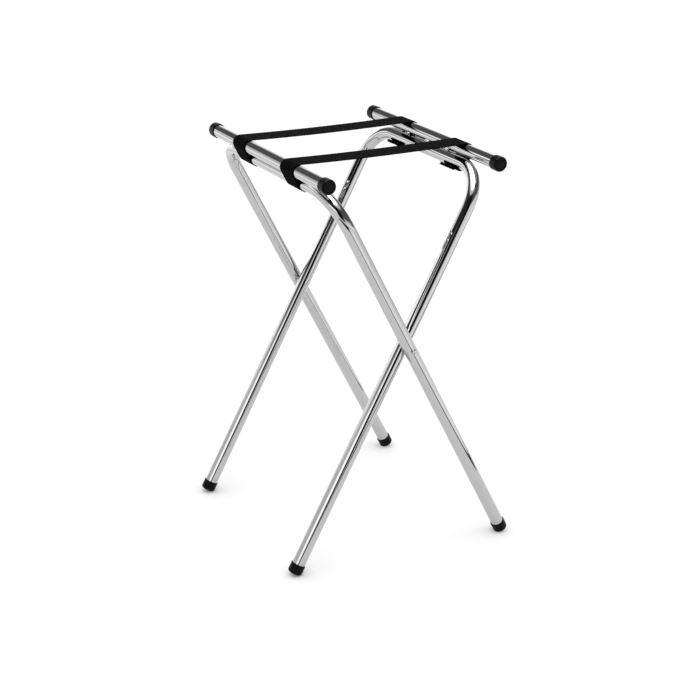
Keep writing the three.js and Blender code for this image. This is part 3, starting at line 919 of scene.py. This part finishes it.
class TRAYSTAND_OT_studio(bpy.types.Operator):
    """Set up the floor, the lights, the surroundings and the camera"""

    bl_idname = "traystand.studio"
    bl_label = "Studio"

    def execute(self, context):
        self.floor(context)
        self.cards()
        self.world(context.scene)
        self.surroundings(context.scene)
        self.light("key_soft_box", (-1.6, -1.9, 2.6), 1.6, 7)
        self.light("fill_soft_box", (2.0, -0.6, 2.2), 1.8, 3)
        self.light("back_soft_box", (0.4, 2.4, 2.4), 1.6, 3)
        self.camera(context.scene)
        context.scene.view_settings.view_transform = "Standard"
        return {"FINISHED"}

    def floor(self, context):
        """A wide flat sheet with a faint paper tooth."""
        mesh = bpy.data.meshes.new("studio_floor")
        half = 14.0
        corners = [(-half, -half, 0), (half, -half, 0), (half, half, 0), (-half, half, 0)]
        mesh.from_pydata(corners, [], [(0, 1, 2, 3)])
        material, nodes, shader, place, _ = finish_called("studio_paper")
        tooth = nodes.add("TexNoise", {"Vector": place, "Scale": 90.0, "Detail": 3.0})
        tint = context.scene.traystand_colours.floor
        paper = nodes.mix(tooth.outputs["Fac"], opaque(tint), darker(tint, 0.985))
        nodes.feed(shader.inputs["Base Color"], paper)
        shader.inputs["Roughness"].default_value = 0.9
        shader.inputs["Specular IOR Level"].default_value = 0.0
        mesh.materials.append(material)
        floor = bpy.data.objects.new("studio_floor", mesh)
        context.scene.collection.objects.link(floor)

    def mirror_card(self, name, corners, glow):
        """A flat card just over the floor that only the plating mirrors."""
        mesh = bpy.data.meshes.new(name)
        card_height = 12 * MM
        mesh.from_pydata([(*corner, card_height) for corner in corners], [], [(0, 1, 2, 3)])
        material, nodes, shader, place, _ = finish_called(name)
        tooth = nodes.add("TexNoise", {"Vector": place, "Scale": 3.0})
        level = nodes.scale_to(tooth.outputs["Fac"], 0.0, 1.0, 0.97 * glow, 1.03 * glow)
        shade = nodes.add("CombineXYZ", {"X": level, "Y": level, "Z": level})
        nodes.feed(shader.inputs["Emission Color"], shade.outputs[0])
        shader.inputs["Emission Strength"].default_value = 1.0
        shader.inputs["Base Color"].default_value = (0.01, 0.01, 0.01, 1)
        shader.inputs["Roughness"].default_value = 1.0
        material.cycles.emission_sampling = "NONE"
        mesh.materials.append(material)
        card = bpy.data.objects.new(name, mesh)
        bpy.context.scene.collection.objects.link(card)
        card.visible_camera = card.visible_diffuse = card.visible_shadow = False

    def cards(self):
        """A dark gap past the paper's front right edge, and the lit and dark floor beyond the paper."""
        start, stop = np.array([-0.62, -1.74]), np.array([1.60, 0.08])
        along = (stop - start) / np.linalg.norm(stop - start)
        out = np.array([along[1], -along[0]])
        for name, near, far, glow in (("gap_card", -0.10, 0.10, 0.0), ("lit_floor_front", 0.10, 2.6, 1.30)):
            corners = [start + near * out, start + far * out, stop + far * out, stop + near * out]
            self.mirror_card(name, corners, glow)
        self.mirror_card("lit_floor_back", [(-7, 3), (7, 3), (7, 11), (-7, 11)], 1.5)
        self.mirror_card("dark_floor_front", [(-0.1, -1.3), (-0.2, -3.4), (-3.0, -3.4), (-2.2, -1.1)], 0.0)

    def world(self, scene):
        """Plain white light from all round."""
        world = bpy.data.worlds.new("studio_light")
        world.use_nodes = True
        scene.world = world
        background = world.node_tree.nodes["Background"]
        background.inputs["Strength"].default_value = 1.09
        background.inputs["Color"].default_value = (1.0, 1.0, 1.0, 1.0)

    def surroundings(self, scene):
        """A dome that only the plating mirrors, its point at each azimuth and height one radius away.

        Its glow is the patches of SURROUNDINGS, each a product of smooth steps in both angles and laid over
        the ones before it.
        """
        radius, rows, columns = 80.0, 25, 73
        azimuths = np.radians(np.linspace(-180, 180, columns))
        azimuth, height = np.meshgrid(azimuths, np.radians(np.linspace(-2, 90, rows)))
        x, y = np.cos(height) * np.sin(azimuth), np.cos(height) * np.cos(azimuth)
        points = np.stack([x, y, np.sin(height)], -1)
        flat, quads, _ = skin(points * radius, np.zeros((rows, columns, 2)))
        mesh = bpy.data.meshes.new("studio_surroundings")
        mesh.from_pydata(flat.tolist(), [], quads.tolist())
        material, nodes, shader, place, _ = finish_called("studio_surroundings")
        direction = nodes.add("SeparateXYZ", {"Vector": place})
        x, y, z = (direction.outputs[axis] for axis in "XYZ")
        azimuth = nodes.math("DEGREES", nodes.math("ARCTAN2", x, y))
        height = nodes.math("DEGREES", nodes.math("ARCSINE", nodes.math("DIVIDE", z, radius)))
        seen = 0.9  # the brightness of the rest of the room
        for _, left, right, low, high, soft, level in SURROUNDINGS:
            edges = [(height, low, high)]
            if right - left < 360:
                edges.append((azimuth, left, right))
            mask = 1.0
            for value, start, stop in edges:
                enter = nodes.scale_to(value, start - soft, start + soft, 0.0, 1.0)
                leave = nodes.scale_to(value, stop - soft, stop + soft, 1.0, 0.0)
                mask = nodes.math("MULTIPLY", mask, nodes.math("MULTIPLY", enter, leave))
            change = nodes.math("SUBTRACT", level, seen)
            seen = nodes.math("MULTIPLY_ADD", change, mask, seen)
        shader.inputs["Base Color"].default_value = (0.0, 0.0, 0.0, 1.0)
        shader.inputs["Specular IOR Level"].default_value = 0.0
        shader.inputs["Emission Strength"].default_value = 1.0
        glow = nodes.add("CombineXYZ", {"X": seen, "Y": seen, "Z": seen})
        nodes.feed(shader.inputs["Emission Color"], glow.outputs[0])
        material.cycles.emission_sampling = "NONE"
        mesh.materials.append(material)
        dome = bpy.data.objects.new("studio_surroundings", mesh)
        scene.collection.objects.link(dome)
        dome.visible_camera = dome.visible_diffuse = dome.visible_shadow = False
        dome.visible_transmission = dome.visible_volume_scatter = False

    def light(self, name, place, size, power):
        """A large soft light turned towards the stand's middle. The plating doesn't mirror it."""
        data = bpy.data.lights.new(name, "AREA")
        data.shape = "DISK"
        data.size = size
        data.energy = power
        made = bpy.data.objects.new(name, data)
        bpy.context.scene.collection.objects.link(made)
        made.location = place
        aim = Vector((0, 0, 0.4)) - Vector(place)
        made.rotation_euler = aim.to_track_quat("-Z", "Y").to_euler()
        made.visible_camera = made.visible_glossy = False

    def camera(self, scene):
        """A long lens aimed at the stand's middle from the front left, level but for a slight roll.

        It stands back by its distance along the direction that the azimuth and the elevation give.
        """
        azimuth, elevation, roll = math.radians(-29.26), math.radians(21.45), math.radians(0.85)
        distance, target = 3.184, Vector((0.0005, 0.0, 0.3539))
        level = math.cos(elevation)
        back = Vector((math.sin(azimuth) * level, -math.cos(azimuth) * level, math.sin(elevation)))
        right = back.cross(Vector((0, 0, -1))).normalized()
        up = back.cross(right)
        rolled_right = math.cos(roll) * right + math.sin(roll) * up
        rolled_up = math.cos(roll) * up - math.sin(roll) * right
        turn = Matrix((rolled_right, rolled_up, back)).transposed().to_4x4()
        data = bpy.data.cameras.new("camera")
        data.sensor_width = 36.0
        data.lens = 81.1
        data.clip_end = 200.0
        made = bpy.data.objects.new("camera", data)
        scene.collection.objects.link(made)
        made.matrix_world = Matrix.Translation(target + back * distance) @ turn
        scene.camera = made


class TRAYSTAND_PT_panel(bpy.types.Panel):
    """The stand's settings and the buttons that build it"""

    bl_idname = "TRAYSTAND_PT_panel"
    bl_label = "Tray Stand"
    bl_space_type = "VIEW_3D"
    bl_region_type = "UI"
    bl_category = "Tray Stand"

    def draw(self, context):
        layout = self.layout
        for settings in (context.scene.traystand_sizes, context.scene.traystand_colours):
            for name in settings.__annotations__:
                layout.prop(settings, name)
        for operator in OPERATORS:
            layout.operator(operator.bl_idname)


OPERATORS = (
    TRAYSTAND_OT_frames,
    TRAYSTAND_OT_rails,
    TRAYSTAND_OT_caps,
    TRAYSTAND_OT_pivots,
    TRAYSTAND_OT_straps,
    TRAYSTAND_OT_studio,
)
CLASSES = (TRAYSTAND_PG_sizes, TRAYSTAND_PG_colours, *OPERATORS, TRAYSTAND_PT_panel)


def register():
    for cls in CLASSES:
        bpy.utils.register_class(cls)
    bpy.types.Scene.traystand_sizes = bpy.props.PointerProperty(type=TRAYSTAND_PG_sizes)
    bpy.types.Scene.traystand_colours = bpy.props.PointerProperty(type=TRAYSTAND_PG_colours)


def unregister():
    del bpy.types.Scene.traystand_colours
    del bpy.types.Scene.traystand_sizes
    for cls in reversed(CLASSES):
        bpy.utils.unregister_class(cls)


def main():
    register()
    bpy.ops.traystand.frames()
    bpy.ops.traystand.rails()
    bpy.ops.traystand.caps()
    bpy.ops.traystand.pivots()
    bpy.ops.traystand.straps()
    bpy.ops.traystand.studio()


if __name__ == "__main__":
    main()
